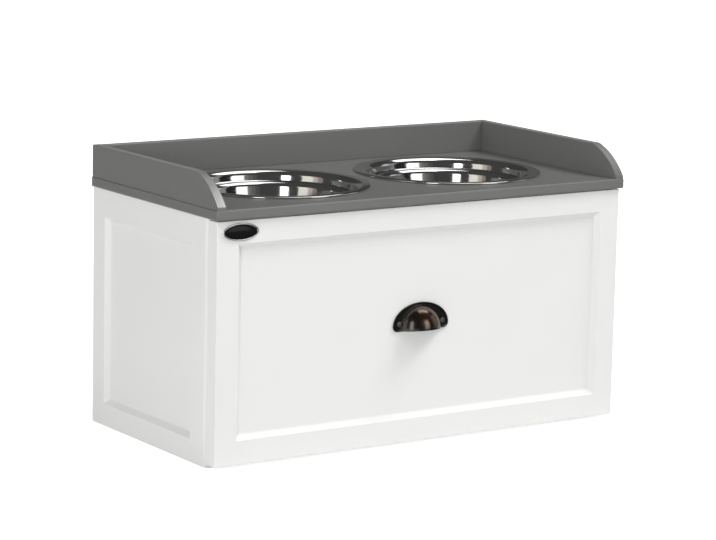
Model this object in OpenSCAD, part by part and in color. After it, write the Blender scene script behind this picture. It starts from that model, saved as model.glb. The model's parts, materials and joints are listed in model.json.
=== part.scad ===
/* [Top board] */
// Width of the top board, left to right
top_w = 603; // [580:1:620]
// Depth of the top board, front to back
top_d = 305; // [300:1:315]
// Thickness of the top board
top_t = 12.5; // [12:0.5:16]
// Rounding of the top board's edges
top_edge_r = 2; // [1:0.5:3]
// Height of the gallery boards above the top board
gallery_h = 40; // [34:1:44]
// Thickness of the gallery boards
gallery_t = 12; // [11:0.5:13]
// Inset of the gallery boards from the edges of the top board
gallery_inset = 1.2; // [0.4:0.2:2]
// Radius of the swept front end of a side gallery
sweep_r = 94; // [90:1:98]
// Rounding of the gallery's long edges
gallery_edge_r = 1.5; // [1:0.5:2]

/* [Cabinet] */
// Height of the side panels, floor to the underside of the top
body_h = 300; // [296:1:320]
// Overhang of the top board past each side panel
side_overhang = 3.5; // [2:0.5:4]
// Overhang of the top board past the face of the drawer front
front_overhang = 5; // [4:0.5:7]
// Thickness of the side panels
side_t = 16; // [15:0.5:17]
// Thickness of the bottom board
bottom_t = 12; // [12:0.5:14]
// Height of the bottom board above the floor
bottom_lift = 5; // [3:0.5:6]
// Thickness of the back panel
back_t = 3; // [2.5:0.5:4]
// Height of the stretchers under the top
stretcher_h = 40; // [36:1:46]
// Thickness of the stretchers and of the drawer's side and back boards
board_t = 12; // [12:0.5:13]

/* [Routed panels] */
// Width of the frame left standing round the recess of the drawer front
frame_w = 29; // [26:1:34]
// Width of the front stile of a side panel
side_stile_w = 36.5; // [30:0.5:42]
// Height of the top rail of a side panel
side_rail_h = 34; // [33:0.5:36]
// Width of the sloping wall between frame and recessed field
cove_w = 4; // [3:0.5:6]
// Depth of the recesses
recess = 6.5; // [4:0.5:7]
// Rounding of the edges of the drawer front
front_edge_r = 1; // [0.5:0.25:1.5]
// Rounding of the front edge of a side panel
side_edge_r = 7; // [4:0.5:8]

/* [Drawer] */
// Thickness of the drawer front
front_t = 20; // [19:0.5:21]
// Gap between the drawer front and the cabinet
front_gap = 1.5; // [1:0.5:2]
// Gap under the drawer front
front_lift = 4.5; // [3:0.5:6]
// Gap between the drawer front and the top board
front_top_gap = 1.5; // [1:0.5:3]
// Height of the drawer box
box_h = 180; // [176:1:184]
// Depth of the drawer box
box_d = 250; // [248:1:252]
// Thickness of the drawer bottom
tray_t = 3; // [2.5:0.5:4]

/* [Roller slides] */
// Space for a slide between cabinet and drawer box
slide_gap = 12.5; // [12.3:0.1:12.8]
// Sheet thickness of the rails
sheet_t = 1; // [0.9:0.05:1.05]
// Height of the cabinet rails above the floor
rail_z = 32; // [28:1:36]

/* [Bowls] */
// Outer radius of the bowl rim
bowl_r = 119.5; // [117:0.5:121]
// Distance between the bowl centres
bowl_pitch = 261.5; // [256:0.5:266]
// Distance of the bowl centres behind the front edge of the top
bowl_y = 149.5; // [147:0.5:152]
// Depth of a bowl
bowl_depth = 70; // [60:1:74]
// Sheet thickness of a bowl
bowl_sheet = 0.8; // [0.6:0.1:1]

/* [Cup pull] */
// Height of the pull's screws above the floor
pull_z = 152.5; // [140:0.5:170]
// Offset of the pull from the middle of the drawer, to the right
pull_x = -2.5; // [-4:0.5:4]
// Distance between the two pull screws
pull_screws = 64; // [62:1:66]
// How far the cup stands out from the recessed field
pull_out = 22; // [20:0.5:24]
// Radius of the cup
pull_r = 31; // [30:0.5:31]
// Wall thickness of the cup
pull_wall = 1.6; // [1.4:0.1:2]

/* [Badge] */
// Width of the oval badge
badge_w = 49; // [44:1:54]
// Height of the oval badge
badge_h = 21.5; // [18:0.5:22]
// Distance of the badge's middle from the left edge of the top
badge_x = 35; // [30:0.5:40]
// Distance of the badge's middle below the top edge of the drawer front
badge_drop = 13.5; // [12:0.5:16]

/* [Hidden] */
$fn = 64;
eps = 0.01;
white_paint = [0.93, 0.93, 0.92];
gray_paint = [0.33, 0.33, 0.32];
hardboard = [0.60, 0.46, 0.32];
birch = [0.83, 0.70, 0.50];
polished = [0.80, 0.80, 0.82];
zinc = [0.70, 0.71, 0.73];
white_coat = [0.90, 0.90, 0.88];
nylon = [0.95, 0.95, 0.94];
bronze = [0.16, 0.12, 0.09];
gloss_black = [0.03, 0.03, 0.03];

// Places across, from the middle of the object
top_x = top_w / 2;
body_x = top_x - side_overhang;
inner_x = body_x - side_t;
side_mid_x = inner_x + side_t / 2;
box_x = inner_x - slide_gap;
gallery_x = top_x - gallery_inset;

// Places front to back, from the front edge of the top board
field_y = front_overhang + recess;
front_back_y = front_overhang + front_t;
body_y = front_back_y + front_gap;
back_inset = 10;
back_y = top_d - back_inset - back_t;
gallery_end_y = top_d - gallery_inset;
box_end_y = front_back_y + box_d;
mid_y = (field_y - pull_out + top_d) / 2;

// Heights above the floor
top_z = body_h + top_t;
gallery_z = top_z + gallery_h;
bottom_z = bottom_lift + bottom_t;
stretcher_z = body_h - stretcher_h;
front_top_z = body_h - front_top_gap;
box_z = rail_z + 4;
tray_z = box_z + 8;

// Swept end of a side gallery: it rises from a short upright nose to the level top edge
nose_y = 1;
nose_r = 3;
sweep_rise = 90.2;
sweep_y = nose_y + 76.4;
sweep_z = gallery_z - sweep_rise;
sweep_end_y = sweep_y - sqrt(sweep_r * sweep_r - sweep_rise * sweep_rise);
sweep_turn = 180 - asin(sweep_rise / sweep_r);
nose_turn = 180 - acos((sweep_y - nose_y - nose_r) / (sweep_r - nose_r));
nose_z = sweep_z + (sweep_r - nose_r) * sin(nose_turn);

// Joints of the boards: grooves, cam locks, their bolts, and dowels
groove = 5;
groove_play = 0.2;
cam_r = 7.5;
cam_reach = 24;
cam_past = 4;
cam_slack = 0.1;
cam_slot = [8, 1.2, 1.5];
bolt_r = 2.5;
bolt_in = 9;
bolt_way_r = 3.4;
bolt_collar_r = 3.2;
bolt_collar_h = 1.5;
bolt_neck_r = 1.8;
bolt_head_r = 2.8;
bolt_head_h = 4;
dowel_r = 3;
dowel_in = 8;
dowel_out = 12;
top_cam_ys = [60, 250];
top_dowel_ys = [95, 215];
gallery_dowel_ys = [77, 155, 235];
gallery_dowel_xs = [-200, 0, 200];
bottom_cam_ys = [70, 245];
bottom_dowel_ys = [110, 205];
front_cam_zs = [box_z + 40, box_z + 140];
box_screw_zs = [box_z + 35, box_z + 145];
box_screw_len = 40;
box_screw_r = 2;
box_screw_head_r = 4;
box_screw_head_h = 2.5;

// Slide sections, from the inner face of a side panel and the underside of a cabinet rail
rail_h = 24;
flange_w = 11;
runner_gap = 0.1;
rail_front = body_y + 2.5;
rail_len = 250;
runner_front = front_back_y + 2;
runner_len = 248;
runner_z = rail_z + rail_h + 0.35;
roller_w = 6;
roller_off = 3.2;
roller_bore = 2.55;
axle_r = 2.5;
collar_r = 3.6;
head_r = 4;
head_t = 0.6;
side_play = 0.1;
front_roller_r = 11;
front_roller_y = rail_front + 13;
front_roller_z = runner_z - runner_gap - front_roller_r;
rear_roller_r = 10.7;
rear_roller_y = runner_front + runner_len - 13;
rear_roller_z = rail_z + rail_h / 2;
rail_screw_ys = [75, 150, 225];
runner_screw_ys = [50, 130, 210];
rail_screw_z = rail_z + 12;
runner_screw_z = rail_z + 14;
screw_r = 1.6;
screw_head_r = 3.2;
screw_fit = 0.05;
rail_screw_len = 8;
rail_head_h = 1;

// Bowl section, from the top of its rim
lip_r = 1.3;
mouth_r = bowl_r - 12.5;
mouth_round = 5;
throat_r = mouth_r - mouth_round;
ledge_drop = 12;
ledge_fillet = 1.5;
ledge_round = 5;
ledge_r = throat_r - 6;
wall_lean = 12.4;
heel_r = 12;
foot_r = ledge_r - 26.5;
hole_r = bowl_r - 10.5;

// Cup pull: its cup is part of a ball whose centre lies behind the field
ball_y = field_y - pull_out + pull_r;
ball_z = pull_z - 7.7;
cup_edge_tilt = 6.5;
plate_t = 1.6;
border_t = 2.4;
border_w = 2.2;
plate_half_w = pull_screws / 2 + 8.8;
plate_rise = 28;
arch_z = pull_z - 3;
ear_r = 6.5;
pull_head_h = 1.4;
pull_screw_len = 12;
pull_slot = [4, 0.8, 0.8];

// Badge ring and face
ring_w = 2.2;
ring_t = 2.2;
face_t = 2.6;
face_dome_r = 110;

// Brings a piece from its place behind the front edge of the top into the model's frame
module set_back() {
    translate([0, -mid_y, 0]) children();
}

module both_sides() {
    children();
    mirror([1, 0, 0]) children();
}

// A section drawn as (y, z) and drawn out along x
module across(from_x, length) {
    translate([from_x, 0, 0]) rotate([90, 0, 90]) linear_extrude(length) children();
}

// A section drawn as (x, z) and drawn out towards the back
module backwards(from_y, length) {
    translate([0, from_y + length, 0]) rotate([90, 0, 0]) linear_extrude(length) children();
}

function arc(x, y, r, from, to, steps = 8) = [
    for (i = [0 : steps]) let (a = from + (to - from) * i / steps) [x + r * cos(a), y + r * sin(a)]
];

function flipped(points) = [for (i = [len(points) - 1 : -1 : 0]) points[i]];

// A rectangle from corner a to corner b with rounded corners
module round_rect(a, b, r) {
    translate([a[0] + r, a[1]]) square([b[0] - a[0] - 2 * r, b[1] - a[1]]);
    translate([a[0], a[1] + r]) square([b[0] - a[0], b[1] - a[1] - 2 * r]);
    for (x = [a[0] + r, b[0] - r], y = [a[1] + r, b[1] - r]) translate([x, y]) circle(r = r);
}

// A board from corner a to corner b with all its edges rounded
module eased_board(a, b, r) {
    intersection() {
        backwards(a.y, b.y - a.y) round_rect([a.x, a.z], [b.x, b.z], r);
        across(a.x, b.x - a.x) round_rect([a.y, a.z], [b.y, b.z], r);
        translate([0, 0, a.z]) linear_extrude(b.z - a.z) round_rect([a.x, a.y], [b.x, b.y], r);
    }
}

// What is cut off a square edge to round it, with the edge at the origin
module edge_waste(r) {
    difference() {
        translate([-r, -r]) square(r + 1);
        translate([-r, -r]) circle(r = r);
    }
}

// Half outline of a recess: the face, the sloping wall, and the fillet onto the field
function recess_side(half) = concat(
    [[half, -1], [half, 0]],
    arc(half - cove_w, recess - cove_w + 1, cove_w - 1, 0, 90, 6)
);

module recess_outline(half) {
    polygon(concat(recess_side(half), flipped([for (p = recess_side(half)) [-p[0], p[1]]])));
}

// Recess in the plane y = 0, sunk towards the back and centred on the origin
module routed_recess(w, h) {
    intersection() {
        translate([0, 0, -h / 2]) linear_extrude(h) recess_outline(w / 2);
        rotate([0, 90, 0]) translate([0, 0, -w / 2]) linear_extrude(w) recess_outline(h / 2);
    }
}

// A cam joint lies with its bolt along +Z from the face that takes the thread, and its
// lock is pressed in from +X. The same bores are cut in both boards.
module cam_bores(thick) {
    translate([0, 0, -bolt_in]) cylinder(r = bolt_r + eps, h = bolt_in + eps);
    translate([0, 0, -eps]) cylinder(r = bolt_way_r, h = cam_reach);
    translate([-cam_past, 0, cam_reach]) rotate([0, 90, 0]) cylinder(r = cam_r, h = thick / 2 + cam_past + 1);
}

module cam_bolt() {
    translate([0, 0, -bolt_in]) cylinder(r = bolt_r, h = bolt_in);
    cylinder(r = bolt_collar_r, h = bolt_collar_h);
    cylinder(r = bolt_neck_r, h = cam_reach);
    translate([0, 0, cam_reach - bolt_head_h / 2]) cylinder(r = bolt_head_r, h = bolt_head_h);
}

module cam_lock(thick) {
    length = thick / 2 + cam_past;
    translate([-cam_past, 0, cam_reach]) rotate([0, 90, 0]) difference() {
        cylinder(r = cam_r - cam_slack, h = length);
        translate([0, 0, cam_past]) rotate([0, 90, 0]) cylinder(r = bolt_way_r, h = cam_r);
        translate([0, 0, cam_past]) rotate([0, -90, 0])
            translate([0, 0, -eps]) cylinder(r = bolt_way_r, h = bolt_head_h - 1);
        for (turn = [0, 90]) rotate(turn)
            translate([-cam_slot.x / 2, -cam_slot.y / 2, length - cam_slot.z]) cube(cam_slot);
    }
}

module dowel(extra = 0) {
    translate([0, 0, -dowel_in - extra]) cylinder(r = dowel_r + extra, h = dowel_in + dowel_out + 2 * extra);
}

// Top board onto the side panels: threads in the board, locks from inside the cabinet
module at_top_cams() {
    both_sides() for (y = top_cam_ys) translate([side_mid_x, y, body_h]) rotate([0, 180, 0]) children();
}

module at_top_dowels() {
    both_sides() for (y = top_dowel_ys) translate([side_mid_x, y, body_h]) rotate([0, 180, 0]) children();
}

// Bottom board between the side panels: locks from below
module at_bottom_cams() {
    both_sides() for (y = bottom_cam_ys)
        translate([inner_x, y, bottom_z - bottom_t / 2]) rotate([0, 90, 180]) children();
}

module at_bottom_dowels() {
    both_sides() for (y = bottom_dowel_ys)
        translate([inner_x, y, bottom_z - bottom_t / 2]) rotate([0, 90, 180]) children();
}

// Stretchers between the side panels: locks on the faces that look into the cabinet
module at_stretcher_joint(y, turn, drop) {
    both_sides() translate([inner_x, y, body_h - drop]) rotate([turn, 0, 0]) rotate([0, 90, 180]) children();
}

module at_stretcher_cams() {
    at_stretcher_joint(body_y + board_t / 2, 90, 12) children();
    at_stretcher_joint(back_y - board_t / 2, -90, 12) children();
}

module at_stretcher_dowels() {
    at_stretcher_joint(body_y + board_t / 2, 90, 29) children();
    at_stretcher_joint(back_y - board_t / 2, -90, 29) children();
}

module at_gallery_dowels() {
    both_sides() for (y = gallery_dowel_ys) translate([gallery_x - gallery_t / 2, y, top_z]) children();
    for (x = gallery_dowel_xs) translate([x, gallery_end_y - gallery_t / 2, top_z]) children();
}

// Drawer sides onto the drawer front: locks from inside the drawer
module at_front_cams() {
    both_sides() for (z = front_cam_zs)
        translate([box_x - board_t / 2, front_back_y, z]) rotate([90, 0, 180]) children();
}

// Screws through the drawer sides into the drawer back
module at_box_screws() {
    both_sides() for (z = box_screw_zs)
        translate([box_x, box_end_y - board_t / 2, z]) rotate([0, -90, 0]) children();
}

module box_screw(extra = 0) {
    cylinder(r1 = box_screw_head_r + extra, r2 = box_screw_r + extra, h = box_screw_head_h);
    cylinder(r = box_screw_r + extra, h = box_screw_len + extra);
}

module at_bowls() {
    for (x = [-bowl_pitch / 2, bowl_pitch / 2]) translate([x, bowl_y, top_z]) children();
}

// Top board and gallery
module tabletop() {
    color(gray_paint) set_back() difference() {
        eased_board([-top_x, 0, body_h], [top_x, top_d, top_z], top_edge_r);
        at_bowls() translate([0, 0, -top_t - 1]) cylinder(r = hole_r, h = top_t + 2, $fn = 128);
        at_top_cams() cam_bores(side_t);
        at_top_dowels() dowel(eps);
        at_gallery_dowels() dowel(eps);
    }
}

// What is cut off the two edges of the swept end
module sweep_waste() {
    intersection() {
        for (inner = [0, 1]) translate([gallery_x - gallery_t * inner, sweep_y, sweep_z]) rotate([0, 90, 0])
            rotate_extrude($fn = 128) translate([sweep_r, 0]) mirror([0, inner]) edge_waste(gallery_edge_r);
        translate([0, -1, nose_z - 2]) cube([top_x + 2, sweep_end_y + 4, gallery_h]);
    }
}

module side_gallery() {
    outline = concat(
        [[gallery_end_y, top_z], [gallery_end_y, gallery_z]],
        arc(sweep_y, sweep_z, sweep_r, sweep_turn, nose_turn, 24),
        arc(nose_y + nose_r, nose_z, nose_r, nose_turn, 180, 8),
        [[nose_y, top_z]]
    );
    color(gray_paint) set_back() difference() {
        across(gallery_x - gallery_t, gallery_t) polygon(outline);
        backwards(sweep_end_y, top_d - sweep_end_y) {
            translate([gallery_x, gallery_z]) edge_waste(gallery_edge_r);
            translate([gallery_x - gallery_t, gallery_z]) mirror([1, 0]) edge_waste(gallery_edge_r);
        }
        sweep_waste();
        at_gallery_dowels() dowel(eps);
    }
}

module left_gallery() {
    mirror([1, 0, 0]) side_gallery();
}

module right_gallery() {
    side_gallery();
}

module back_gallery() {
    half = gallery_x - gallery_t;
    front = gallery_end_y - gallery_t;
    color(gray_paint) set_back() difference() {
        across(-half, 2 * half) difference() {
            translate([front, top_z]) square([gallery_t, gallery_h]);
            translate([gallery_end_y, gallery_z]) edge_waste(gallery_edge_r);
            translate([front, gallery_z]) mirror([1, 0]) edge_waste(gallery_edge_r);
        }
        at_gallery_dowels() dowel(eps);
    }
}

module gallery_dowels() {
    color(birch) set_back() at_gallery_dowels() dowel();
}

// Cabinet boards
module side_panel() {
    recess_front = body_y + side_stile_w;
    recess_back = top_d - frame_w;
    recess_low = front_lift + frame_w - 5;
    recess_high = body_h - side_rail_h;
    color(white_paint) set_back() difference() {
        linear_extrude(body_h) difference() {
            translate([inner_x, body_y]) square([side_t, top_d - body_y]);
            translate([body_x, body_y]) mirror([0, 1]) edge_waste(side_edge_r);
        }
        translate([body_x, (recess_front + recess_back) / 2, (recess_low + recess_high) / 2])
            rotate([0, 0, 90]) routed_recess(recess_back - recess_front, recess_high - recess_low);
        translate([inner_x - 1, back_y, -1]) cube([groove + 1, back_t, body_h + 2]);
        at_top_cams() cam_bores(side_t);
        at_top_dowels() dowel(eps);
        at_bottom_cams() cam_bores(bottom_t);
        at_bottom_dowels() dowel(eps);
        at_stretcher_cams() cam_bores(board_t);
        at_stretcher_dowels() dowel(eps);
        at_rail_screws() rail_screw(screw_fit);
    }
}

module left_side_panel() {
    mirror([1, 0, 0]) side_panel();
}

module right_side_panel() {
    side_panel();
}

module bottom_panel() {
    color(white_paint) set_back() difference() {
        translate([-inner_x, body_y, bottom_lift]) cube([2 * inner_x, back_y - body_y, bottom_t]);
        at_bottom_cams() cam_bores(bottom_t);
        at_bottom_dowels() dowel(eps);
    }
}

module back_panel() {
    half = inner_x + groove - groove_play;
    color(hardboard) set_back()
        translate([-half, back_y, bottom_lift]) cube([2 * half, back_t, body_h - bottom_lift]);
}

module stretcher(y) {
    color(white_paint) set_back() difference() {
        translate([-inner_x, y, stretcher_z]) cube([2 * inner_x, board_t, stretcher_h]);
        at_stretcher_cams() cam_bores(board_t);
        at_stretcher_dowels() dowel(eps);
    }
}

module front_stretcher() {
    stretcher(body_y);
}

module rear_stretcher() {
    stretcher(back_y - board_t);
}

module cabinet_cam_locks() {
    color(zinc) set_back() {
        at_top_cams() cam_lock(side_t);
        at_bottom_cams() cam_lock(bottom_t);
        at_stretcher_cams() cam_lock(board_t);
    }
}

module cabinet_cam_bolts() {
    color(zinc) set_back() {
        at_top_cams() cam_bolt();
        at_bottom_cams() cam_bolt();
        at_stretcher_cams() cam_bolt();
    }
}

module cabinet_dowels() {
    color(birch) set_back() {
        at_top_dowels() dowel();
        at_bottom_dowels() dowel();
        at_stretcher_dowels() dowel();
    }
}

// Roller slides, drawn on the right and mirrored to the left
module at_rail_screws() {
    both_sides() for (y = rail_screw_ys) translate([inner_x - sheet_t, y, rail_screw_z]) rotate([0, 90, 0]) children();
}

module rail_screw(extra = 0) {
    translate([0, 0, -rail_head_h]) cylinder(r = screw_head_r, h = rail_head_h);
    cylinder(r = screw_r + extra, h = rail_screw_len + extra);
}

module at_runner_screws() {
    both_sides() for (y = runner_screw_ys) translate([box_x + sheet_t, y, runner_screw_z]) rotate([0, -90, 0]) children();
}

module at_front_roller() {
    translate([inner_x - roller_off - roller_w, front_roller_y, front_roller_z]) rotate([0, 90, 0]) children();
}

module at_rear_roller() {
    translate([inner_x - roller_off - roller_w, rear_roller_y, rear_roller_z]) rotate([0, 90, 0]) children();
}

module cabinet_rail() {
    cut_y = front_roller_y + front_roller_r + 3;
    lip = 3;
    color(white_coat) set_back() difference() {
        union() {
            backwards(rail_front, rail_len) {
                translate([inner_x - sheet_t, rail_z]) square([sheet_t, rail_h]);
                translate([inner_x - flange_w, rail_z]) square([flange_w, sheet_t]);
            }
            backwards(cut_y, rail_front + rail_len - cut_y)
                translate([inner_x - flange_w, rail_z + rail_h - sheet_t]) square([flange_w, sheet_t]);
            backwards(rail_front + rail_len - sheet_t, sheet_t)
                translate([inner_x - flange_w, rail_z]) square([flange_w, lip]);
        }
        at_rail_screws() rail_screw(screw_fit);
        translate([inner_x, front_roller_y, front_roller_z]) rotate([0, -90, 0])
            translate([0, 0, -1]) cylinder(r = axle_r + eps, h = 3);
    }
}

module left_cabinet_rail() {
    mirror([1, 0, 0]) cabinet_rail();
}

module right_cabinet_rail() {
    cabinet_rail();
}

module cabinet_rail_screws() {
    color(zinc) set_back() at_rail_screws() rail_screw();
}

// Riveted pin: collar against the rail, shank through the roller, head past it
module roller_pin(collar, reach) {
    cylinder(r = axle_r, h = reach);
    translate([0, 0, sheet_t]) cylinder(r = collar_r, h = collar - sheet_t);
    translate([0, 0, reach - head_t]) cylinder(r = head_r, h = head_t);
}

module cabinet_roller_axles() {
    color(zinc) set_back() both_sides()
        translate([inner_x, front_roller_y, front_roller_z]) rotate([0, -90, 0])
            roller_pin(roller_off - side_play, roller_off + roller_w + side_play + head_t);
}

// Roller with a shallow ring cut in each face
module roller(r) {
    ring_in = 5;
    ring_out = r - 2.2;
    ring_t = 1.2;
    color(nylon) rotate_extrude() difference() {
        translate([roller_bore, 0]) square([r - roller_bore, roller_w]);
        translate([ring_in, -eps]) square([ring_out - ring_in, ring_t]);
        translate([ring_in, roller_w - ring_t]) square([ring_out - ring_in, ring_t + eps]);
        translate([r, roller_w]) edge_waste(0.8);
        translate([r, 0]) mirror([0, 1]) edge_waste(0.8);
    }
}

module right_front_roller() {
    set_back() at_front_roller() roller(front_roller_r);
}

module left_front_roller() {
    mirror([1, 0, 0]) right_front_roller();
}

module right_rear_roller() {
    set_back() at_rear_roller() roller(rear_roller_r);
}

module left_rear_roller() {
    mirror([1, 0, 0]) right_rear_roller();
}

module drawer_rail() {
    color(white_coat) set_back() difference() {
        backwards(runner_front, runner_len) {
            translate([box_x, box_z - sheet_t]) square([sheet_t, runner_z + sheet_t - box_z + sheet_t]);
            translate([box_x, runner_z]) square([flange_w, sheet_t]);
            translate([box_x - board_t, box_z - sheet_t]) square([board_t + sheet_t, sheet_t]);
        }
        at_runner_screws() rail_screw(screw_fit);
        translate([box_x, rear_roller_y, rear_roller_z]) rotate([0, 90, 0])
            translate([0, 0, -1]) cylinder(r = axle_r + eps, h = 3);
    }
}

module left_drawer_rail() {
    mirror([1, 0, 0]) drawer_rail();
}

module right_drawer_rail() {
    drawer_rail();
}

module drawer_rail_screws() {
    color(zinc) set_back() at_runner_screws() rail_screw();
}

module drawer_roller_axles() {
    collar = slide_gap - roller_off - roller_w;
    color(zinc) set_back() both_sides()
        translate([box_x, rear_roller_y, rear_roller_z]) rotate([0, 90, 0])
            roller_pin(collar - side_play, collar + roller_w + side_play + head_t);
}

// Drawer
module drawer_front() {
    field_low = front_lift + frame_w + 0.5;
    field_high = front_top_z - frame_w + 1.5;
    half = body_x - frame_w;
    color(white_paint) set_back() difference() {
        eased_board([-body_x, front_overhang, front_lift], [body_x, front_back_y, front_top_z], front_edge_r);
        translate([0, front_overhang, (field_low + field_high) / 2])
            routed_recess(2 * half, field_high - field_low);
        tray();
        at_front_cams() cam_bores(board_t);
        at_pull_screws() pull_screw(screw_fit);
    }
}

module tray() {
    half = box_x - board_t + groove;
    translate([-half, front_back_y - groove, tray_z])
        cube([2 * half, box_d - board_t + 2 * groove, tray_t]);
}

module drawer_side() {
    color(white_paint) set_back() difference() {
        translate([box_x - board_t, front_back_y, box_z]) cube([board_t, box_d, box_h]);
        tray();
        at_front_cams() cam_bores(board_t);
        at_box_screws() box_screw(screw_fit);
        at_runner_screws() rail_screw(screw_fit);
    }
}

module drawer_left_side() {
    mirror([1, 0, 0]) drawer_side();
}

module drawer_right_side() {
    drawer_side();
}

module drawer_back() {
    half = box_x - board_t;
    color(white_paint) set_back() difference() {
        translate([-half, box_end_y - board_t, box_z]) cube([2 * half, board_t, box_h]);
        tray();
        at_box_screws() box_screw(screw_fit);
    }
}

module drawer_bottom() {
    color(hardboard) set_back() tray();
}

module drawer_cam_locks() {
    color(zinc) set_back() at_front_cams() cam_lock(board_t);
}

module drawer_cam_bolts() {
    color(zinc) set_back() at_front_cams() cam_bolt();
}

module drawer_box_screws() {
    color(zinc) set_back() at_box_screws() box_screw();
}

// Cup pull: a quarter ball open below, on a plate with an arched outline
module at_pull_screws() {
    for (x = [-pull_screws / 2, pull_screws / 2])
        translate([pull_x + x, field_y - plate_t, pull_z]) rotate([-90, 0, 0]) children();
}

module pull_screw(extra = 0) {
    translate([0, 0, -pull_head_h]) cylinder(r = screw_head_r, h = pull_head_h);
    cylinder(r = screw_r + extra, h = pull_screw_len);
}

module pull_outline(inset = 0) {
    half = plate_half_w - inset;
    rise = plate_rise - inset;
    ear = ear_r - inset;
    polygon([for (i = [0 : 32]) [half * cos(180 * i / 32), rise * sin(180 * i / 32)]]);
    for (x = [ear - half, half - ear]) translate([x, 0]) circle(r = ear);
    translate([ear - half, -ear]) square([2 * (half - ear), ear]);
}

module cup_pull() {
    color(bronze) set_back() difference() {
        translate([pull_x, 0, 0]) difference() {
            union() {
                translate([0, 0, arch_z]) {
                    backwards(field_y - plate_t, plate_t) pull_outline();
                    backwards(field_y - border_t, border_t) difference() {
                        pull_outline();
                        pull_outline(border_w);
                    }
                }
                intersection() {
                    translate([0, ball_y, ball_z]) sphere(r = pull_r, $fn = 96);
                    translate([-pull_r, field_y, arch_z - ear_r]) rotate([-cup_edge_tilt, 0, 0])
                        translate([0, -2 * pull_out, 0]) cube([2 * pull_r, 2 * pull_out, 2 * pull_r]);
                    translate([-pull_r, field_y - 2 * pull_out, 0]) cube([2 * pull_r, 2 * pull_out, body_h]);
                }
            }
            translate([0, ball_y, ball_z]) sphere(r = pull_r - pull_wall, $fn = 96);
        }
        at_pull_screws() translate([0, 0, -1]) cylinder(r = screw_r + screw_fit, h = plate_t + 2);
    }
}

module pull_screws() {
    color(zinc) set_back() at_pull_screws() difference() {
        pull_screw();
        for (turn = [45, 135]) rotate(turn)
            translate([-pull_slot.x / 2, -pull_slot.y / 2, -pull_head_h - eps]) cube(pull_slot);
    }
}

// Badge: a ring round a domed oval, both without lettering
module oval(w, h) {
    polygon([for (turn = [0 : 6 : 354]) [w / 2 * cos(turn), h / 2 * sin(turn)]]);
}

module at_badge() {
    translate([badge_x - top_x, front_overhang, front_top_z - badge_drop]) rotate([90, 0, 0]) children();
}

module badge_bezel() {
    color(polished) set_back() at_badge() difference() {
        linear_extrude(ring_t) oval(badge_w, badge_h);
        translate([0, 0, -1]) linear_extrude(ring_t + 2) oval(badge_w - 2 * ring_w, badge_h - 2 * ring_w);
    }
}

module badge_face() {
    color(gloss_black) set_back() at_badge() intersection() {
        linear_extrude(face_t) oval(badge_w - 2 * ring_w, badge_h - 2 * ring_w);
        translate([0, 0, face_t - face_dome_r]) sphere(r = face_dome_r, $fn = 400);
    }
}

// Bowl: a spun shell with a rolled lip, a flat rim, a step and a leaning wall
module bowl() {
    function skin(down) = concat(
        [[bowl_r - lip_r, -down]],
        arc(mouth_r, -mouth_round, mouth_round - down, 90, 180),
        arc(throat_r - ledge_fillet, ledge_fillet - ledge_drop, ledge_fillet + down, 0, -90),
        arc(ledge_r, -ledge_round - ledge_drop, ledge_round - down, 90, 180 - wall_lean),
        arc(foot_r, heel_r - bowl_depth, heel_r + down, -wall_lean, -90),
        [[0, -bowl_depth - down]]
    );
    color(polished) set_back() translate([0, bowl_y, top_z + 2 * lip_r]) rotate_extrude($fn = 128) {
        polygon(concat(skin(0), flipped(skin(bowl_sheet))));
        translate([bowl_r - lip_r, -lip_r]) circle(r = lip_r);
    }
}

module left_bowl() {
    translate([-bowl_pitch / 2, 0, 0]) bowl();
}

module right_bowl() {
    translate([bowl_pitch / 2, 0, 0]) bowl();
}

tabletop();
left_gallery();
right_gallery();
back_gallery();
gallery_dowels();
left_side_panel();
right_side_panel();
bottom_panel();
back_panel();
front_stretcher();
rear_stretcher();
cabinet_cam_locks();
cabinet_cam_bolts();
cabinet_dowels();
left_cabinet_rail();
right_cabinet_rail();
cabinet_rail_screws();
cabinet_roller_axles();
left_front_roller();
right_front_roller();
drawer_front();
drawer_left_side();
drawer_right_side();
drawer_back();
drawer_bottom();
drawer_cam_locks();
drawer_cam_bolts();
drawer_box_screws();
left_drawer_rail();
right_drawer_rail();
drawer_rail_screws();
drawer_roller_axles();
left_rear_roller();
right_rear_roller();
cup_pull();
pull_screws();
badge_bezel();
badge_face();
left_bowl();
right_bowl();
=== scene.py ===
import json
import math

import bpy
from mathutils import Matrix, Vector

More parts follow.
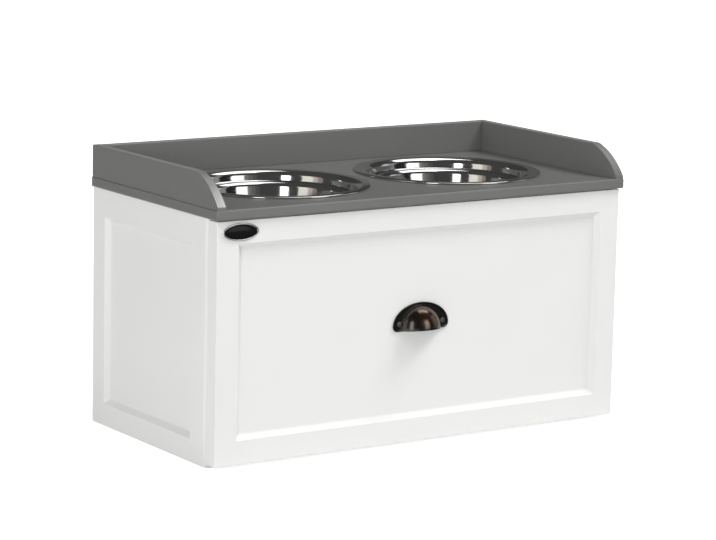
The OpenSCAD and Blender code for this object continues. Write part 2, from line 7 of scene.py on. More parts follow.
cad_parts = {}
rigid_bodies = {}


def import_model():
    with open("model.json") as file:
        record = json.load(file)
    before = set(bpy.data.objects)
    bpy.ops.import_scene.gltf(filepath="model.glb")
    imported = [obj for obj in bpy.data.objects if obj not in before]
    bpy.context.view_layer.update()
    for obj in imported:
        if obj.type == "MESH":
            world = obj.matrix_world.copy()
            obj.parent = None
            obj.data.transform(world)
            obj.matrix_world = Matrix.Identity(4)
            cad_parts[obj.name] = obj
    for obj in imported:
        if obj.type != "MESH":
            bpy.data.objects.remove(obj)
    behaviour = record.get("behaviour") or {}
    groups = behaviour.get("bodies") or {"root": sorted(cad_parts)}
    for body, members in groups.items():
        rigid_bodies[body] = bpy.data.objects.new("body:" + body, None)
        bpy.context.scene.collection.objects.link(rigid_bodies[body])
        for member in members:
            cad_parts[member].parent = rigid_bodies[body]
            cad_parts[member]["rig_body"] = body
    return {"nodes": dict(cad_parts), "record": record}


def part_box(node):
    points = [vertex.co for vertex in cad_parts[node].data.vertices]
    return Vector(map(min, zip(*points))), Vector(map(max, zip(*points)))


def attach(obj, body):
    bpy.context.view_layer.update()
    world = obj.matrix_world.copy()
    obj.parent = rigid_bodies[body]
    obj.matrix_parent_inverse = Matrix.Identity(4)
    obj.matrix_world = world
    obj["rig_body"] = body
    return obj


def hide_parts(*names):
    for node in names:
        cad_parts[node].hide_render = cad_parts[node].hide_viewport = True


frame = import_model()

mm = 0.001
fine = 0.001 * mm
scene = bpy.context.scene
scene.view_settings.view_transform = "Standard"
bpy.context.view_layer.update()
print("frame loaded")

# camera, as solved from the straight edges in the photograph
view = {
    "azimuth": -33.87,
    "elevation": 10.218,
    "roll": 1.262,
    "place": (-1984.1 * mm, -2948.95 * mm, 835.5 * mm),
    "lens": 143.65,
    "sensor": 36.0,
    "reach": 50.0,
}


def makeCamera():
    az, el, roll = (math.radians(view[k]) for k in ("azimuth", "elevation", "roll"))
    back = Vector((math.sin(az) * math.cos(el), -math.cos(az) * math.cos(el), math.sin(el)))
    level = Vector((math.cos(az), math.sin(az), 0))
    up = back.cross(level)
    right = math.cos(roll) * level + math.sin(roll) * up
    up = back.cross(right)
    data = bpy.data.cameras.new("camera")
    data.lens = view["lens"]
    data.sensor_width = view["sensor"]
    data.clip_end = view["reach"]
    cam = bpy.data.objects.new("camera", data)
    scene.collection.objects.link(cam)
    turn = Matrix((right, up, back)).transposed().to_4x4()
    cam.matrix_world = Matrix.Translation(view["place"]) @ turn
    scene.camera = cam


makeCamera()
print("camera placed")


# shader maths: a wire is a socket that takes part in expressions
class Wire:
    def __init__(self, nodes, socket):
        self.nodes, self.socket = nodes, socket

    def maths(self, operation, *others):
        inputs = {i: v for i, v in enumerate((self, *others))}
        return self.nodes.add("ShaderNodeMath", {"operation": operation}, inputs)

    def __add__(self, other):
        return self.maths("ADD", other)

    def __mul__(self, other):
        return self.maths("MULTIPLY", other)

    def __sub__(self, other):
        return self.maths("SUBTRACT", other)

    def __rsub__(self, other):
        return self.maths("MULTIPLY_ADD", -1.0, other)

    def __pow__(self, other):
        return self.maths("POWER", other)

    __radd__ = __add__
    __rmul__ = __mul__


class Nodes:
    def __init__(self, owner):
        owner.use_nodes = True
        self.tree = owner.node_tree
        self.tree.nodes.clear()

    def add(self, kind, settings, inputs, output=0):
        node = self.tree.nodes.new(kind)
        for key, value in settings.items():
            setattr(node, key, value)
        for key, value in inputs.items():
            if isinstance(value, Wire):
                self.tree.links.new(value.socket, node.inputs[key])
            else:
                node.inputs[key].default_value = value
        return Wire(self, node.outputs[output]) if node.outputs else None

    def rays(self, *kinds):
        wires = [self.add("ShaderNodeLightPath", {}, {}, f"Is {kind} Ray") for kind in kinds]
        found = wires[0]
        for wire in wires[1:]:
            found = found.maths("MAXIMUM", wire)
        return found


class Finish(Nodes):
    def __init__(self, name):
        self.material = bpy.data.materials.new(name)
        super().__init__(self.material)
        self.coords = self.add("ShaderNodeTexCoord", {}, {}, "Object")

    def noise(self, scale, detail=3.0, vector=None, rough=0.5):
        inputs = {"Vector": vector or self.coords, "Scale": scale, "Detail": detail, "Roughness": rough}
        return self.add("ShaderNodeTexNoise", {}, inputs, "Fac")

    def lines(self, along, scale, detail):  # noise along one measure, such as a radius
        inputs = {"W": along, "Scale": scale, "Detail": detail}
        return self.add("ShaderNodeTexNoise", {"noise_dimensions": "1D"}, inputs, "Fac")

    def mapped(self, vector=None, **inputs):
        return self.add("ShaderNodeMapping", {}, {"Vector": vector or self.coords, **inputs})

    def spread(self, wire, low, high, start=0.0, end=1.0):
        inputs = {"Value": wire, "From Min": start, "From Max": end, "To Min": low, "To Max": high}
        return self.add("ShaderNodeMapRange", {}, inputs)

    def axes(self):
        split = self.add("ShaderNodeSeparateXYZ", {}, {"Vector": self.coords})
        return [Wire(self, out) for out in split.socket.node.outputs]

    def blend(self, factor, first, second):  # 6 and 7 are the colour sockets of a Mix node
        inputs = {0: factor, 6: first, 7: second}
        return self.add("ShaderNodeMix", {"data_type": "RGBA"}, inputs, 2)

    def tint(self, scale, colour, dulled):
        return self.blend(self.noise(scale), shade(*(c * dulled for c in colour)), shade(*colour))

    def bump(self, height, strength, distance):
        return self.add("ShaderNodeBump", {}, {"Height": height, "Strength": strength, "Distance": distance})

    def shine(self, **inputs):
        inputs = {key.replace("_", " "): value for key, value in inputs.items()}
        shader = self.add("ShaderNodeBsdfPrincipled", {}, inputs)
        self.add("ShaderNodeOutputMaterial", {}, {"Surface": shader})
        return self.material


def shade(r, g, b):
    return (r, g, b, 1.0)


# sprayed paint: clouds in the colour, and the fine skin and grit that a spray gun leaves
sprayed = {"cloudScale": 9.0, "roughScale": 60.0, "gritScale": 5.5, "grit": 0.15, "height": 0.12 * mm}
whitePaint = {"dark": (0.785, 0.79, 0.772), "light": (0.81, 0.815, 0.797), "rough": (0.34, 0.44),
              "peel": 0.07, "peelScale": 520.0, "gloss": 0.5}
grayPaint = {"dark": (0.154, 0.154, 0.147), "light": (0.17, 0.17, 0.163), "rough": (0.28, 0.36),
             "peel": 0.05, "peelScale": 480.0, "gloss": 0.5}


def paint(name, values, tone=None):
    f = Finish(name)
    cloud = f.noise(sprayed["cloudScale"], 4.0)
    skin = f.noise(values["peelScale"], 2.0)
    grit = f.noise(values["peelScale"] * sprayed["gritScale"], 2.0)
    colour = f.blend(cloud, shade(*values["dark"]), shade(*values["light"]))
    height = skin + grit * sprayed["grit"]
    if tone:
        colour, height = tone(f, colour, height)
    return f.shine(
        Base_Color=colour,
        Roughness=f.spread(f.noise(sprayed["roughScale"]), *values["rough"]),
        Normal=f.bump(height, values["peel"], sprayed["height"]),
        Specular_IOR_Level=values["gloss"],
    )


# sawn edges of the galleries: a painted highlight lies on the swept ends as a pale tone broken by fine ribs,
# most of all low on the left one, and a painted sheen makes the level top edges paler than the faces
sweptEnd = {
    "radius": 94.0 * mm, "middle": (-69.85 * mm, 262.3 * mm), "inside": (0.7 * mm, 0.3 * mm),
    "start": -96 * mm, "fade": 3 * mm,
    "ribs": 720.0, "ribContrast": (0.35, 0.65), "ribPale": 0.35, "ribHeight": 20.0,
    # painted highlight: the pale tone on the swept ends, the gray beside it, and the heights where it fades
    "endGray": (0.16, 0.16, 0.155), "highlightTone": (0.62, 0.62, 0.61), "highlightLow": 318 * mm, "highlightHigh": 340 * mm,
    "leftOf": 10 * mm,
}
# painted sheen colour for the level top edges of the galleries
topEdge = {"level": 352.4 * mm, "fade": 0.2 * mm, "share": 0.55, "paintedSheen": (0.34, 0.34, 0.33)}


def paintedGallerySheen(f, colour, height):
    s = sweptEnd
    x, y, z = f.axes()
    dy, dz = y - s["middle"][0], z - s["middle"][1]
    reach = (dy * dy + dz * dz) ** 0.5
    onEnd = f.spread(reach, 0.0, 1.0, s["radius"] - s["inside"][0], s["radius"] - s["inside"][1])
    onEnd = onEnd * f.spread(y, 1.0, 0.0, s["start"], s["start"] + s["fade"])
    ribs = f.lines(x, s["ribs"], 1.0)
    # painted highlight: paler low on the swept end and on the left gallery, broken by the ribs
    low = f.spread(z, 1.0, 0.0, s["highlightLow"], s["highlightHigh"])
    left = f.spread(x, 1.0, 0.0, -s["leftOf"], s["leftOf"])
    wearAndHighlight = f.spread(ribs, s["ribPale"], 1.0, *s["ribContrast"]) * low * left
    paintedSheen = f.blend(wearAndHighlight, shade(*s["endGray"]), shade(*s["highlightTone"]))
    # painted sheen: the level top edges are paler than the faces
    onTop = f.spread(z, 0.0, topEdge["share"], topEdge["level"] - topEdge["fade"], topEdge["level"])
    colour = f.blend(onTop, colour, shade(*topEdge["paintedSheen"]))
    return f.blend(onEnd, colour, paintedSheen), height + ribs * onEnd * s["ribHeight"]


# spun steel: turned lines round each bowl's own axis, smeared by polishing
spun = {"colour": (0.74, 0.735, 0.73), "rough": (0.05, 0.13), "lineScale": 2600.0, "lineShare": 0.6,
        "smearScale": 22.0, "bump": 0.05, "height": 0.03 * mm}


def bowlPlace(node):
    low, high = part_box(node)
    return Vector(((low.x + high.x) / 2, (low.y + high.y) / 2, high.z))


def spunSteel():
    f = Finish("bowlSteel")
    x, y, z = f.axes()
    mid = bowlPlace("right_bowl")  # the left bowl stands at the same place on the other side
    dx, dy = x.maths("ABSOLUTE") - mid.x, y - mid.y
    lines = f.lines((dx * dx + dy * dy) ** 0.5, spun["lineScale"], 3.0)
    smear = f.noise(spun["smearScale"], 3.0)
    uneven = lines * spun["lineShare"] + smear * (1 - spun["lineShare"])
    return f.shine(
        Base_Color=shade(*spun["colour"]),
        Metallic=1.0,
        Roughness=f.spread(uneven, *spun["rough"]),
        Normal=f.bump(lines, spun["bump"], spun["height"]),
    )


# aged bronze: dark, and worn brown in the middle of the cup
agedBronze = {
    "dark": (0.085, 0.08, 0.075), "brown": (0.27, 0.17, 0.125), "rough": (0.15, 0.25), "roughScale": 160.0,
    "wornScale": (38.0, 30.0, 55.0), "wearAndHighlight": 1.4, "patchScale": 55.0, "patch": 0.5, "wornStart": 0.45,
    "grainScale": 900.0, "bump": 0.05, "height": 0.1 * mm,
}


def bronze():
    b = agedBronze
    f = Finish("agedBronze")
    low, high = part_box("cup_pull")
    centred = f.mapped(Location=-(low + high) / 2)
    patch = f.noise(b["patchScale"], 4.0)
    core = f.add("ShaderNodeTexGradient", {"gradient_type": "SPHERICAL"},
                 {"Vector": f.mapped(centred, Scale=b["wornScale"])}, "Fac")
    wear = f.spread(core * b["wearAndHighlight"] + patch * b["patch"] - b["wornStart"], 0.0, 1.0)
    return f.shine(
        Base_Color=f.blend(wear, shade(*b["dark"]), shade(*b["brown"])),
        Metallic=1.0,
        Roughness=f.spread(f.noise(b["roughScale"], 4.0), *b["rough"]),
        Normal=f.bump(f.noise(b["grainScale"], 3.0), b["bump"], b["height"]),
    )


plated = {"dulled": 0.86, "tintScale": 150.0, "roughScale": 420.0, "grainScale": 1500.0, "height": 0.05 * mm}


def plating(name, colour, rough, bumpy):
    p = plated
    f = Finish(name)
    return f.shine(
        Base_Color=f.tint(p["tintScale"], colour, p["dulled"]),
        Metallic=1.0,
        Roughness=f.spread(f.noise(p["roughScale"], 4.0), *rough),
        Normal=f.bump(f.noise(p["grainScale"]), bumpy, p["height"]),
    )


moulded = {"dulled": 0.94, "tintScale": 120.0, "roughScale": 300.0, "grainScale": 1100.0, "height": 0.05 * mm}


def plastic(name, colour, rough, bumpy, gloss=0.5):
    m = moulded
    f = Finish(name)
    return f.shine(
        Base_Color=f.tint(m["tintScale"], colour, m["dulled"]),
        Roughness=f.spread(f.noise(m["roughScale"]), *rough),
        Normal=f.bump(f.noise(m["grainScale"]), bumpy, m["height"]),
        Specular_IOR_Level=gloss,
    )


hardboard = {"dark": (0.17, 0.095, 0.05), "light": (0.34, 0.21, 0.12), "rough": (0.55, 0.8),
             "stretch": (1.0, 1.0, 0.35), "fibreScale": 700.0, "fibreShare": 0.7, "cloudScale": 14.0,
             "bump": 0.3, "height": 0.15 * mm}


def fibreBoard():
    h = hardboard
    f = Finish("hardboard")
    fibres = f.noise(h["fibreScale"], 5.0, f.mapped(Scale=h["stretch"]), 0.7)
    clouds = f.noise(h["cloudScale"], 4.0)
    pressed = fibres * h["fibreShare"] + clouds * (1 - h["fibreShare"])
    return f.shine(
        Base_Color=f.blend(pressed, shade(*h["dark"]), shade(*h["light"])),
        Roughness=f.spread(fibres, *h["rough"]),
        Normal=f.bump(fibres, h["bump"], h["height"]),
    )


birch = {"dark": (0.5, 0.33, 0.17), "light": (0.7, 0.52, 0.32), "rough": (0.5, 0.7),
         "stretch": (1.0, 1.0, 0.12), "grainScale": 900.0, "bump": 0.2, "height": 0.08 * mm}


def bareBirch():
    f = Finish("birchWood")
    grain = f.noise(birch["grainScale"], 4.0, f.mapped(Scale=birch["stretch"]), 0.6)
    return f.shine(
        Base_Color=f.blend(grain, shade(*birch["dark"]), shade(*birch["light"])),
        Roughness=f.spread(grain, *birch["rough"]),
        Normal=f.bump(grain, birch["bump"], birch["height"]),
    )


finishes = {
    "white_paint": paint("whitePaint", whitePaint),
    "gray_paint": paint("grayPaint", grayPaint, paintedGallerySheen),
    "bowl_steel": spunSteel(),
    "bronze": bronze(),
    "pull_screw_steel": plating("screwNickel", (0.42, 0.41, 0.4), (0.24, 0.38), 0.1),
    "badge_chrome": plating("badgeChrome", (0.82, 0.82, 0.83), (0.04, 0.09), 0.02),
    "badge_black": plastic("badgeBlack", (0.008, 0.008, 0.009), (0.1, 0.16), 0.02, gloss=0.15),
    "hardboard": fibreBoard(),
    "birch": bareBirch(),
    "zinc": plating("zincPlate", (0.62, 0.63, 0.64), (0.28, 0.45), 0.1),
    "rail_coating": plastic("railCoat", (0.8, 0.8, 0.78), (0.36, 0.5), 0.25),
    "nylon": plastic("nylonWhite", (0.83, 0.83, 0.8), (0.42, 0.55), 0.1),
}
slotOf = {part["node"]: part["material_slot"] for part in frame["record"]["subparts"]}
for name, node in frame["nodes"].items():
    node.data.materials.clear()
    node.data.materials.append(finishes[slotOf[name]])
print("finishes made")


def choose(*pieces):
    if bpy.context.object and bpy.context.object.mode != "OBJECT":
        bpy.ops.object.mode_set(mode="OBJECT")
    bpy.ops.object.select_all(action="DESELECT")
    for piece in pieces:
        piece.select_set(True)
    if pieces:
        bpy.context.view_layer.objects.active = pieces[0]


def editing(on):
    bpy.ops.object.mode_set(mode="EDIT" if on else "OBJECT")


def allPicked():
    bpy.ops.mesh.select_all(action="SELECT")


def turnRight():
    allPicked()
    bpy.ops.mesh.normals_make_consistent(inside=False)


def drawOut(y):
    bpy.ops.mesh.extrude_region_move(TRANSFORM_OT_translate={"value": (0, y, 0)})


def intoMesh():
    bpy.ops.object.transform_apply(location=True, rotation=True, scale=True)


def primitive(kind, name, **settings):
    choose()
    getattr(bpy.ops.mesh, "primitive_" + kind + "_add")(**settings)
    piece = bpy.context.object
    piece.name = name
    return piece


def applyAll(piece):
    choose(piece)
    for modifier in list(piece.modifiers):
        bpy.ops.object.modifier_apply(modifier=modifier.name)


def carve(piece, tool, how="DIFFERENCE"):
    cut = piece.modifiers.new("carve", "BOOLEAN")
    cut.operation = how
    cut.solver = "EXACT"
    cut.object = tool
    applyAll(piece)
    bpy.data.objects.remove(tool)


def rounded(piece, radius, steps, sharp):
    edge = piece.modifiers.new("round", "BEVEL")
    edge.width, edge.segments = radius, steps
    edge.limit_method = "ANGLE"
    edge.angle_limit = math.radians(sharp)
    applyAll(piece)


def smooth(angle):
    bpy.ops.object.shade_smooth_by_angle(angle=math.radians(angle))


def joined(pieces):
    choose(*pieces)
    bpy.ops.object.join()
    return pieces[0]


def twinOf(piece, name, shift):
    twin = piece.copy()
    twin.data = piece.data.copy()
    twin.name = name
    twin.location = shift
    scene.collection.objects.link(twin)
    return twin


def settle(piece, node):  # the place goes into the mesh, and the piece takes the node's body and slot
    choose(piece)
    intoMesh()
    piece.data.materials.clear()
    piece.data.materials.append(finishes[slotOf[node]])
    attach(piece, frame["nodes"][node]["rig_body"])
    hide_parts(node)


# painted boards: the board's own shape with its sharp edges sanded round
sanding = {"radius": 0.8 * mm, "steps": 2, "sharp": 40.0, "flat": 1.0, "smooth": 35.0}
sandedBoards = ("tabletop", "left_gallery", "right_gallery", "back_gallery",
                "drawer_front", "left_side_panel", "right_side_panel")
# recess of a routed panel: a slope of 45 degrees round it, then a fillet onto the field
routing = {"depth": 6.51, "fillet": 4.0, "steps": 6, "slope": 45.0, "wider": 0.02, "above": 1.0,
           "lap": 0.4, "under": 0.2, "bit": 0.5, "margin": 15.0, "facing": 0.9}
routedFaces = {"drawer_front": (0, -1, 0), "left_side_panel": (-1, 0, 0), "right_side_panel": (1, 0, 0)}


def slab(name, out, centre, wide, high, top, bottom):
    piece = primitive("cube", name, size=1, location=centre + out * (top + bottom) / 2)
    piece.scale = (wide, top - bottom, high) if out.y else (top - bottom, wide, high)
    intoMesh()
    return piece


def mouthOf(piece, out):  # the recess's outline lies in the face, well inside its edges
    face = max(v.co.dot(out) for v in piece.data.vertices)
    level = [v.co for v in piece.data.vertices if face - v.co.dot(out) < fine]
    along = 0 if out.y else 1
    margin = routing["margin"] * mm
    low = [min(co[i] for co in level) + margin for i in range(3)]
    high = [max(co[i] for co in level) - margin for i in range(3)]
    mouth = [co for co in level if all(low[i] < co[i] < high[i] for i in (along, 2))]
    sides = [(min(co[i] for co in mouth), max(co[i] for co in mouth)) for i in (along, 2)]
    centre = Vector((0, 0, sum(sides[1]) / 2))
    centre[along] = sum(sides[0]) / 2
    return face, centre, sides[0][1] - sides[0][0], sides[1][1] - sides[1][0]


def route(piece, out):
    r = routing
    face, centre, wide, high = mouthOf(piece, out)
    lap = 2 * r["lap"] * mm
    bed = face - (r["depth"] + r["under"]) * mm
    fill = slab("fill", out, centre, wide + lap, high + lap, face - fine, bed)
    carve(piece, fill, "UNION")
    start = 2 * (r["wider"] + r["above"]) * mm
    foot = face + r["above"] * mm
    bit = slab("bit", out, centre, wide + start, high + start, foot + r["bit"] * mm, foot)
    editing(True)
    bpy.ops.mesh.select_all(action="DESELECT")
    editing(False)
    for polygon in bit.data.polygons:
        polygon.select = polygon.normal.dot(out) < -r["facing"]
    editing(True)
    turns = [math.radians(r["slope"] * (1 - i / r["steps"])) for i in range(r["steps"] + 1)]
    corner = (r["depth"] - r["fillet"] * (1 - math.cos(turns[0])) + r["above"]) * mm
    bpy.ops.mesh.inset(thickness=corner, depth=corner)
    for before, after in zip(turns, turns[1:]):
        bpy.ops.mesh.inset(thickness=(math.sin(before) - math.sin(after)) * r["fillet"] * mm,
                           depth=(math.cos(after) - math.cos(before)) * r["fillet"] * mm)
    editing(False)
    carve(piece, bit)


def flatten(piece):
    choose(piece)
    editing(True)
    allPicked()
    bpy.ops.mesh.remove_doubles(threshold=2 * fine)
    bpy.ops.mesh.dissolve_limited(angle_limit=math.radians(sanding["flat"]))
    editing(False)


def sandedBoard(node):
    piece = bpy.data.objects.new(node + "_sanded", frame["nodes"][node].data.copy())
    scene.collection.objects.link(piece)
    flatten(piece)
    if node in routedFaces:
        route(piece, Vector(routedFaces[node]))
        flatten(piece)
    rounded(piece, sanding["radius"], sanding["steps"], sanding["sharp"])
    smooth(sanding["smooth"])
    level = piece.modifiers.new("level", "WEIGHTED_NORMAL")
    level.keep_sharp = True
    applyAll(piece)
    settle(piece, node)


for board in sandedBoards:
    sandedBoard(board)
print("boards sanded")


# bowls: rings drawn out from the lip down to the middle of the floor
bowlForm = {
    "sheet": 0.8, "lip": 1.3, "curl": -200, "rim": 9.5, "mouthRound": 9.0, "upperLean": 12.0,
    "ledgeDrop": 13.0, "fillet": 1.5, "ledge": 2.5, "ledgeRound": 8.0, "lean": 12.4, "heelRound": 12.0,
    "floorRings": (0.75, 0.5, 0.25, 0.05), "sides": 160, "smooth": 50,
    "steps": {"lip": 14, "mouth": 12, "fillet": 6, "ledge": 14, "heel": 10},
}


def arcPoints(x, z, r, start, end, steps):
    turns = [math.radians(start + (end - start) * i / steps) for i in range(steps + 1)]
    return [(x + r * math.cos(a), z + r * math.sin(a)) for a in turns]


def foldIn(top, bottom, radius, lean):  # where a leaning wall from top meets a level at bottom in a fillet
    turn = math.radians(lean)
    drop = top[1] - bottom - radius * (1 - math.sin(turn))
    return top[0] - drop * math.tan(turn) - radius * math.cos(turn)


def bowlProfile(rim, depth):
    b = bowlForm
    steps = b["steps"]
    ledge = -b["ledgeDrop"]
    mouth = rim - b["rim"]
    points = arcPoints(rim - b["lip"], -b["lip"], b["lip"], b["curl"], 90, steps["lip"])
    points += arcPoints(mouth, -b["mouthRound"], b["mouthRound"], 90, 180 - b["upperLean"], steps["mouth"])
    throat = foldIn(points[-1], ledge, b["fillet"], b["upperLean"])
    points += arcPoints(throat, ledge + b["fillet"], b["fillet"], -b["upperLean"], -90, steps["fillet"])
    inner, under = throat - b["ledge"], ledge - b["ledgeRound"]
    points += arcPoints(inner, under, b["ledgeRound"], 90, 180 - b["lean"], steps["ledge"])
    foot = foldIn(points[-1], -depth, b["heelRound"], b["lean"])
    points += arcPoints(foot, b["heelRound"] - depth, b["heelRound"], -b["lean"], -90, steps["heel"])
    points += [(foot * share, -depth) for share in b["floorRings"]]
    return points


def spunBowl(node):
    b = bowlForm
    low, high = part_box(node)
    points = bowlProfile((high.x - low.x) / 2 / mm, (high.z - low.z) / mm - b["sheet"])
    radius, height = points[0]
    bowl = primitive("circle", node + "_spun", vertices=b["sides"], radius=radius * mm,
                     location=bowlPlace(node) + Vector((0, 0, height * mm)))
    editing(True)
    for (r0, z0), (r1, z1) in zip(points, points[1:]):
        bpy.ops.mesh.extrude_region_move()
        bpy.ops.transform.translate(value=(0, 0, (z1 - z0) * mm))
        bpy.ops.transform.resize(value=(r1 / r0, r1 / r0, 1))
    bpy.ops.mesh.edge_face_add()
    turnRight()
    editing(False)
    wall = bowl.modifiers.new("wall", "SOLIDIFY")
    wall.thickness = b["sheet"] * mm
    wall.offset = -1
    applyAll(bowl)
    smooth(b["smooth"])
    intoMesh()
    return bowl


leftBowl = spunBowl("left_bowl")
rightBowl = twinOf(leftBowl, "right_bowl_spun", bowlPlace("right_bowl") - bowlPlace("left_bowl"))
settle(leftBowl, "left_bowl")
settle(rightBowl, "right_bowl")
print("bowls spun")


# cup pull: flange with raised border, quarter ball hollowed out, cast together
castPull = {
    "rise": 28.0, "ear": 6.5, "thick": 2.4, "border": 2.2, "raised": 0.8, "ball": 31.0, "out": 22.0,
    "drop": 4.7, "bed": 0.5, "wall": 1.6, "tilt": 6.5, "grain": 0.4, "soften": 3, "softness": 0.5,
    "flangeSides": 128, "earSteps": 12, "ballSides": 160,
}
standing = (math.radians(90), 0, 0)


def pullFlange(mid, half, back, arch):
    c = castPull
    flange = primitive("circle", "cup_pull_cast", vertices=c["flangeSides"], radius=1, fill_type="NGON",
                       location=(mid, back, arch), rotation=standing)
    flange.scale = (half, c["rise"] * mm, 1)
    intoMesh()
    editing(True)
    allPicked()
    bpy.ops.mesh.bisect(plane_co=(mid, back, arch), plane_no=(0, 0, 1), threshold=fine, clear_inner=True)
    bpy.ops.mesh.select_mode(type="EDGE")
    bpy.ops.mesh.extrude_region_move(TRANSFORM_OT_translate={"value": (0, 0, -c["ear"] * mm)})
    bpy.ops.mesh.bevel(offset=c["ear"] * mm, segments=c["earSteps"], affect="VERTICES")
    bpy.ops.mesh.select_mode(type="FACE")
    allPicked()
    bpy.ops.mesh.remove_doubles(threshold=fine)
    bpy.ops.mesh.dissolve_faces()
    drawOut(-c["thick"] * mm)
    bpy.ops.mesh.inset(thickness=c["border"] * mm)
    bpy.ops.transform.translate(value=(0, c["raised"] * mm, 0))
    turnRight()
    editing(False)
    return flange


def ball(name, middle, radius):
    sides = castPull["ballSides"]
    piece = primitive("uv_sphere", name, segments=sides, ring_count=sides // 2, radius=radius * mm,
                      location=middle)
    intoMesh()
    return piece


def pullCup(middle, mid, back, arch):
    c = castPull
    tilt = math.radians(c["tilt"])
    cup = ball("cup", middle, c["ball"])
    editing(True)
    allPicked()
    bpy.ops.mesh.bisect(plane_co=(mid, back - c["bed"] * mm, 0), plane_no=(0, 1, 0), threshold=fine,
                        use_fill=True, clear_outer=True)
    allPicked()
    bpy.ops.mesh.bisect(plane_co=(mid, back, arch - c["ear"] * mm),
                        plane_no=(0, math.sin(tilt), math.cos(tilt)), threshold=fine,
                        use_fill=True, clear_inner=True)
    turnRight()
    editing(False)
    carve(cup, ball("hollow", middle, c["ball"] - c["wall"]))
    return cup


def makePull():
    low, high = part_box("cup_pull")
    c = castPull
    mid, back = (low.x + high.x) / 2, high.y
    arch = low.z + c["ear"] * mm
    middle = Vector((mid, back + (c["ball"] - c["out"]) * mm, arch - c["drop"] * mm))
    pull = pullFlange(mid, (high.x - low.x) / 2, back, arch)
    carve(pull, ball("hollow", middle, c["ball"] - c["wall"]))
    pull = joined([pull, pullCup(middle, mid, back, arch)])
    cast = pull.modifiers.new("cast", "REMESH")
    cast.mode = "VOXEL"
    cast.voxel_size = c["grain"] * mm
    soft = pull.modifiers.new("soft", "SMOOTH")
    soft.factor, soft.iterations = c["softness"], c["soften"]
    applyAll(pull)
    bpy.ops.object.shade_smooth()
    settle(pull, "cup_pull")


makePull()
print("pull cast")


# pull screws: pan heads with a cross slot
panScrew = {"head": 3.2, "high": 1.4, "shank": 1.6, "slot": (4.0, 1.4, 0.8), "slotTurns": (45, 135),
            "edge": 0.7, "edgeSteps": 4, "sharp": 35, "headSides": 48, "shankSides": 24, "smooth": 40}


def makePullScrews():
    p = panScrew
    low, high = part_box("pull_screws")
    x, z = low.x + p["head"] * mm, (low.z + high.z) / 2
    under = low.y + p["high"] * mm
    screw = primitive("cylinder", "pull_screws_pan", vertices=p["headSides"], radius=p["head"] * mm,
                      depth=p["high"] * mm, location=(x, under - p["high"] / 2 * mm, z), rotation=standing)
    rounded(screw, p["edge"] * mm, p["edgeSteps"], p["sharp"])
    for turn in p["slotTurns"]:
        slot = primitive("cube", "slot", size=1, location=(x, low.y, z), rotation=(0, math.radians(turn), 0))
        slot.scale = [side * mm for side in p["slot"]]
        carve(screw, slot)
    shank = primitive("cylinder", "shank", vertices=p["shankSides"], radius=p["shank"] * mm,
                      depth=high.y - under, location=(x, (high.y + under) / 2, z), rotation=standing)
    screw = joined([screw, shank])
    intoMesh()
    across = high.x - low.x - 2 * p["head"] * mm
    screws = joined([screw, twinOf(screw, "second", (across, 0, 0))])
    smooth(p["smooth"])
    settle(screws, "pull_screws")


makePullScrews()
print("screws set")


# badge: rolled chrome ring round a domed gloss face
ovalBadge = {"sides": 128, "bead": 1.2, "beadSteps": 5, "sharp": 50, "seat": 0.9,
             "base": 0.8, "domeSteps": 9, "domeTurn": 88, "smooth": 50}


def ovalPlate(node, name):
    low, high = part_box(node)
    middle = ((low.x + high.x) / 2, high.y, (low.z + high.z) / 2)
    plate = primitive("circle", name, vertices=ovalBadge["sides"], radius=1, fill_type="NGON",
                      location=middle, rotation=standing)
    plate.scale = ((high.x - low.x) / 2, (high.z - low.z) / 2, 1)
    intoMesh()
    editing(True)
    allPicked()
    return plate, middle, high - low


def makeBezel():
    ring, middle, size = ovalPlate("badge_bezel", "badge_bezel_rolled")
    faceLow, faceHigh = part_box("badge_face")
    drawOut(-size.y)
    bpy.ops.mesh.inset(thickness=(size.x - faceHigh.x + faceLow.x) / 2)
    drawOut(size.y * ovalBadge["seat"])
    turnRight()
    editing(False)
    rounded(ring, ovalBadge["bead"] * mm, ovalBadge["beadSteps"], ovalBadge["sharp"])
    smooth(ovalBadge["smooth"])
    settle(ring, "badge_bezel")


def makeFace():
    b = ovalBadge
    face, middle, size = ovalPlate("badge_face", "badge_face_domed")
    rise = size.y - b["base"] * mm
    drawOut(-b["base"] * mm)
    turns = [math.radians(b["domeTurn"] * i / b["domeSteps"]) for i in range(b["domeSteps"] + 1)]
    for before, after in zip(turns, turns[1:]):
        shrink = math.cos(after) / math.cos(before)
        drawOut(-(math.sin(after) - math.sin(before)) * rise)
        bpy.ops.transform.resize(value=(shrink, 1, shrink), center_override=middle)
    turnRight()
    editing(False)
    smooth(b["smooth"])
    settle(face, "badge_face")


makeBezel()
makeFace()
print("badge made")


# studio: pale floor and world, soft lamps, and a room with soft boxes that only gloss sees
studio = {
    "ambient": 0.35,
    "floor": {"size": 12.0, "tone": 0.8, "seen": 0.8, "mirrored": 0.28},
    "target": (0.0, 0.0, 0.2),
    "room": {"sides": 96, "radius": 3.2, "height": 3.0, "sunk": 0.05, "tone": 0.06, "reach": 0.96},
}
lamps = {
    "key": {"place": (-4.1, -3.2, 1.1), "size": (1.1, 1.6), "power": 84.0},
    "front": {"place": (0.0, -3.4, 4.2), "size": (2.4, 1.8), "power": 48.0},
    "top": {"place": (2.3, -1.4, 4.0), "size": (2.0, 1.6), "power": 138.0},
    "left": {"place": (-5.0, 0.2, 1.2), "size": (2.0, 1.6), "power": 35.0},
}
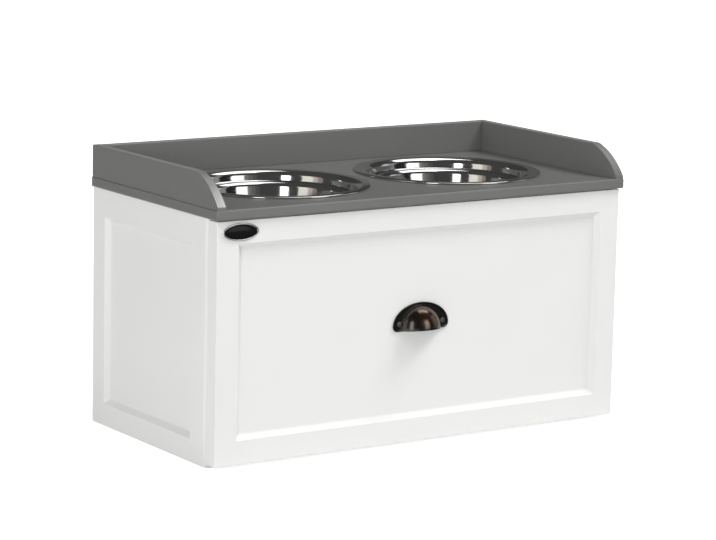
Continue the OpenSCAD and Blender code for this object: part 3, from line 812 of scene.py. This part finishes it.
# panels stand round the piece: from and to are degrees round from the front toward the right
panels = {
    "keyBox": {"from": 11, "to": 32, "high": 2.0, "tone": (1.6, 1.6, 1.6)},
    "blackFlag": {"from": 34, "to": 52, "high": 2.2, "tone": (0.02, 0.02, 0.02)},
    "softNear": {"from": 4, "to": 11, "high": 2.2, "tone": (0.2, 0.2, 0.19)},
    "softMiddle": {"from": -3, "to": 4, "high": 2.2, "tone": (0.14, 0.14, 0.13)},
    "softFar": {"from": -10, "to": -3, "high": 2.2, "tone": (0.09, 0.09, 0.085)},
    "sideBox": {"from": -58, "to": -45, "high": 2.0, "tone": (3.0, 3.0, 3.0)},
    "wall": {"from": -92, "to": -75, "high": 2.4, "tone": (0.95, 0.93, 0.83)},
    "wallEnd": {"from": -100, "to": -92, "high": 2.4, "tone": (0.55, 0.5, 0.45)},
    "wallShade": {"from": -108, "to": -100, "high": 2.4, "tone": (0.3, 0.25, 0.21)},
    "smallBox": {"from": -146, "to": -140, "high": 1.6, "tone": (1.2, 1.2, 1.2)},
    "rightWall": {"from": 54, "to": 68, "high": 2.4, "tone": (0.3, 0.3, 0.3)},
    "rightBox": {"from": 68, "to": 82, "high": 2.0, "tone": (0.6, 0.6, 0.6)},
    "backdropRight": {"from": 98, "to": 136, "high": 2.6, "tone": (0.05, 0.05, 0.05)},
    "backdrop": {"from": 136, "to": 174, "high": 2.6, "tone": (0.05, 0.05, 0.05)},
    "backdropLeft": {"from": 174, "to": 212, "high": 2.6, "tone": (0.05, 0.05, 0.05)},
}
cards = {
    "overheadBox": {"place": (1.15, 0.1, 2.6), "size": (1.9, 1.8), "tone": (2.4, 2.4, 2.4)},
    "frontFlag": {"place": (0.9, -1.55, 0.003), "size": (2.6, 2.7), "tone": (0.1, 0.1, 0.1)},
    "floorFlag": {"place": (-1.75, 1.2, 0.003), "size": (2.2, 2.6), "tone": (0.12, 0.12, 0.12)},
}


def makeWorld():
    world = bpy.data.worlds.new("studio")
    scene.world = world
    n = Nodes(world)
    soft = n.add("ShaderNodeBackground", {}, {"Color": shade(*(studio["ambient"],) * 3)})
    plain = n.add("ShaderNodeBackground", {}, {"Color": shade(1, 1, 1)})
    mix = n.add("ShaderNodeMixShader", {}, {0: n.rays("Camera", "Glossy", "Transmission"), 1: soft, 2: plain})
    n.add("ShaderNodeOutputWorld", {}, {"Surface": mix})


def makeLamp(name):
    values = lamps[name]
    data = bpy.data.lights.new(name, "AREA")
    data.shape = "RECTANGLE"
    data.size, data.size_y = values["size"]
    data.energy = values["power"]
    lamp = bpy.data.objects.new(name, data)
    scene.collection.objects.link(lamp)
    lamp.location = values["place"]
    aim = Vector(studio["target"]) - lamp.location
    lamp.rotation_euler = aim.to_track_quat("-Z", "Y").to_euler()
    lamp.visible_glossy = False


def makeFloor():
    values = studio["floor"]
    floor = primitive("plane", "floor", size=values["size"])
    material = bpy.data.materials.new("paleFloor")
    n = Nodes(material)
    matte = n.add("ShaderNodeBsdfDiffuse", {}, {"Color": shade(*(values["tone"],) * 3)})
    strength = n.rays("Camera") * values["seen"] + n.rays("Glossy", "Transmission") * values["mirrored"]
    glow = n.add("ShaderNodeEmission", {}, {"Strength": strength})
    pale = n.add("ShaderNodeAddShader", {}, {0: matte, 1: glow})
    n.add("ShaderNodeOutputMaterial", {}, {"Surface": pale})
    floor.data.materials.append(material)


def glossOnly(piece, tone):
    material = bpy.data.materials.new(piece.name)
    n = Nodes(material)
    glow = n.add("ShaderNodeEmission", {}, {"Color": shade(*tone)})
    n.add("ShaderNodeOutputMaterial", {}, {"Surface": glow})
    piece.data.materials.append(material)
    for ray in ("camera", "diffuse", "transmission", "shadow"):
        setattr(piece, "visible_" + ray, False)


def standPanel(name, panel, radius):
    around = math.radians((panel["from"] + panel["to"]) / 2)
    half = math.radians(panel["to"] - panel["from"]) / 2
    away = radius * math.cos(half)
    card = primitive("plane", name, size=1, rotation=(math.radians(90), 0, around),
                     location=(math.sin(around) * away, -math.cos(around) * away, panel["high"] / 2))
    card.scale = (2 * radius * math.sin(half), panel["high"], 1)
    glossOnly(card, panel["tone"])


def makeRoom():
    room = studio["room"]
    walls = primitive("cylinder", "room", vertices=room["sides"], radius=room["radius"], depth=room["height"],
                      location=(0, 0, room["height"] / 2 - room["sunk"]))
    glossOnly(walls, (room["tone"],) * 3)
    for name, panel in panels.items():
        standPanel(name, panel, room["radius"] * room["reach"])
    for name, card in cards.items():
        lying = primitive("plane", name, size=1, location=card["place"])
        lying.scale = (*card["size"], 1)
        glossOnly(lying, card["tone"])


makeWorld()
for lamp in lamps:
    makeLamp(lamp)
makeFloor()
makeRoom()
print("studio lit")
